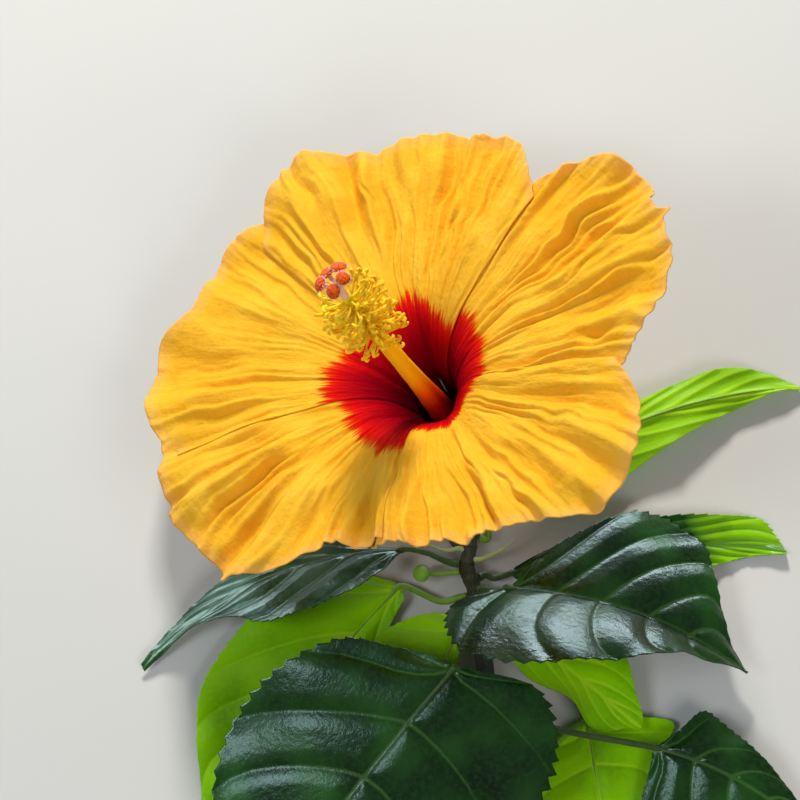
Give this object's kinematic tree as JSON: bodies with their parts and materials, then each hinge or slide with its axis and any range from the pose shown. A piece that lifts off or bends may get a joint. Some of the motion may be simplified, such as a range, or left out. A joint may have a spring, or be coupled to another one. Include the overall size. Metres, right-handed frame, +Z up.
{
  "type": "cut flowering hibiscus sprig",
  "caption": "Cut sprig of a flowering garden shrub, lying down: a wide yellow bloom with a red eye and long stamen column, on a leafy stem.",
  "frame": {"origin": "centre of the bounding box's underside, on the surface the sprig lies on", "axes": "+Y from the stem's cut end towards the bloom, the longest extent; +Z up, the shortest extent; +X to the right of someone looking down with the bloom away from them"},
  "size_m": [0.1684, 0.198, 0.089],
  "materials": {
    "petal": "matte",
    "stamen": "matte",
    "stigma": "matte",
    "leaf_dark": "glossy",
    "leaf_bright": "satin",
    "green_growth": "satin",
    "bark": "satin"
  },
  "bodies": {
    "root": {"stem": "bark", "petal_top": "petal", "petal_left": "petal", "petal_lower_left": "petal", "petal_lower_right": "petal", "petal_right": "petal", "calyx": "green_growth", "epicalyx": "green_growth", "flower_stalk": "green_growth", "stamen_column": "stamen", "style_and_stigmas": "stigma", "leaf_right": "leaf_dark", "leaf_front": "leaf_dark", "leaf_left": "leaf_dark", "leaf_left_rear": "leaf_bright", "leaf_low": "leaf_bright", "leaf_upper_right": "leaf_bright", "leaf_rear_right": "leaf_bright", "leaf_lower_right": "leaf_dark", "leaf_rear_centre": "leaf_bright", "leaf_rear_low": "leaf_bright", "leaf_behind": "leaf_dark", "stipule_right": "green_growth", "stipule_left": "green_growth", "bud": "green_growth"}
  },
  "joints": []
}
